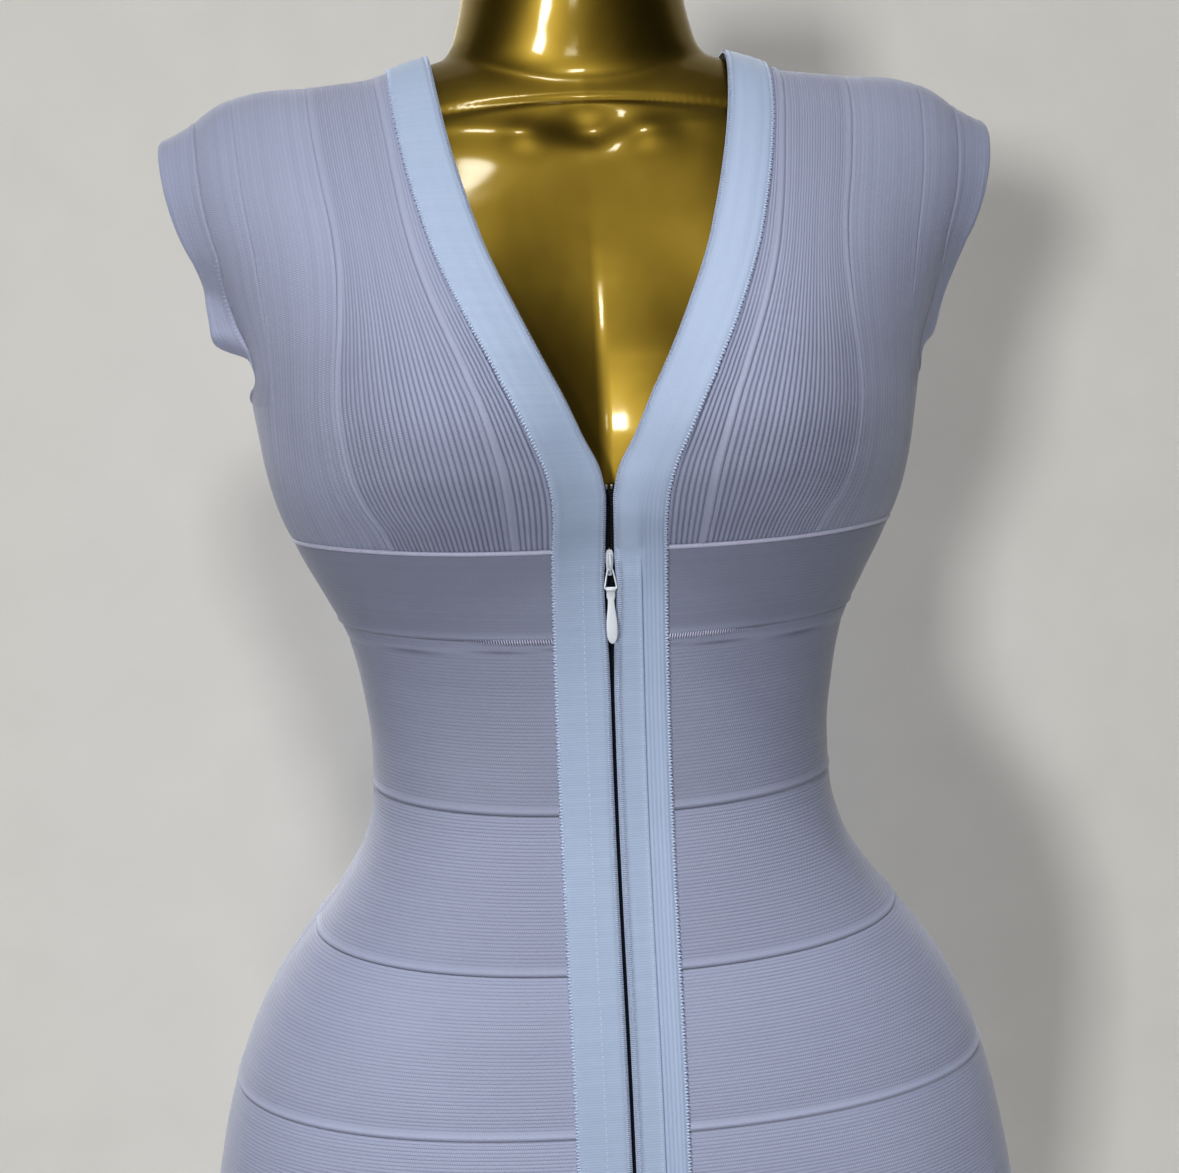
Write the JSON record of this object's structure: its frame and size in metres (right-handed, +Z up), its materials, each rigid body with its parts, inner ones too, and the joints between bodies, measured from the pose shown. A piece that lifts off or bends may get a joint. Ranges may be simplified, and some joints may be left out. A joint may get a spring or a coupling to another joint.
{
  "type": "bodycon dress on a dress form",
  "caption": "Bandage-knit bodycon dress with cap sleeves, deep V neck and full-length front zip, standing on a limbless dress form with a pole and round base.",
  "frame": {"origin": "centre of the base plate's underside, on the floor", "axes": "+Z up, the dress faces -Y, +X is the viewer's right from in front"},
  "size_m": [0.4356, 0.34, 1.4933],
  "materials": {
    "knit": "matt ribbed bandage knit",
    "band": "finely ribbed knit band",
    "zip_tape": "dark coil chain on its tape",
    "enamel": "white enamel",
    "gold": "polished gold lacquer",
    "steel": "satin"
  },
  "bodies": {
    "garment": {"underbust_front_left": "knit", "underbust_front_right": "knit", "underbust_back": "knit", "waist_front_left": "knit", "waist_front_right": "knit", "waist_back": "knit", "high_hip_front_left": "knit", "high_hip_front_right": "knit", "high_hip_back": "knit", "hip_front_left": "knit", "hip_front_right": "knit", "hip_back": "knit", "seat_front_left": "knit", "seat_front_right": "knit", "seat_back": "knit", "thigh_1_front_left": "knit", "thigh_1_front_right": "knit", "thigh_1_back": "knit", "thigh_2_front_left": "knit", "thigh_2_front_right": "knit", "thigh_2_back": "knit", "thigh_3_front_left": "knit", "thigh_3_front_right": "knit", "thigh_3_back": "knit", "hem_front_left": "knit", "hem_front_right": "knit", "hem_back": "knit", "strip_a_left": "knit", "strip_a_right": "knit", "strip_b_left": "knit", "strip_b_right": "knit", "strip_c_left": "knit", "strip_c_right": "knit", "strip_d_left": "knit", "strip_d_right": "knit", "back_low": "knit", "back_mid": "knit", "back_yoke": "knit", "cap_left": "knit", "cap_right": "knit", "front_band_left": "band", "front_band_right": "band", "placket_layer": "band", "back_neck_band": "band", "zip_chain_left": "zip_tape", "zip_chain_right": "zip_tape", "zip_stop_left": "steel", "zip_stop_right": "steel", "stand_pole": "steel", "stand_socket": "steel", "stand_base": "steel", "zip_slider": "enamel", "form_torso": "gold"},
    "pull_ring": {"zip_ring": "enamel"},
    "pull_tab": {"zip_pull": "enamel"}
  },
  "joints": [
    {"name": "ring_swing", "type": "hinge", "parent": "garment", "child": "pull_ring", "pos_m": [0, -0.09885, 1.14997], "axis": [-1, 0, 0], "range_deg": [0, 110]},
    {"name": "tab_swing", "type": "hinge", "parent": "pull_ring", "child": "pull_tab", "pos_m": [0, -0.09885, 1.14047], "axis": [-1, 0, 0], "range_deg": [0, 50]}
  ]
}
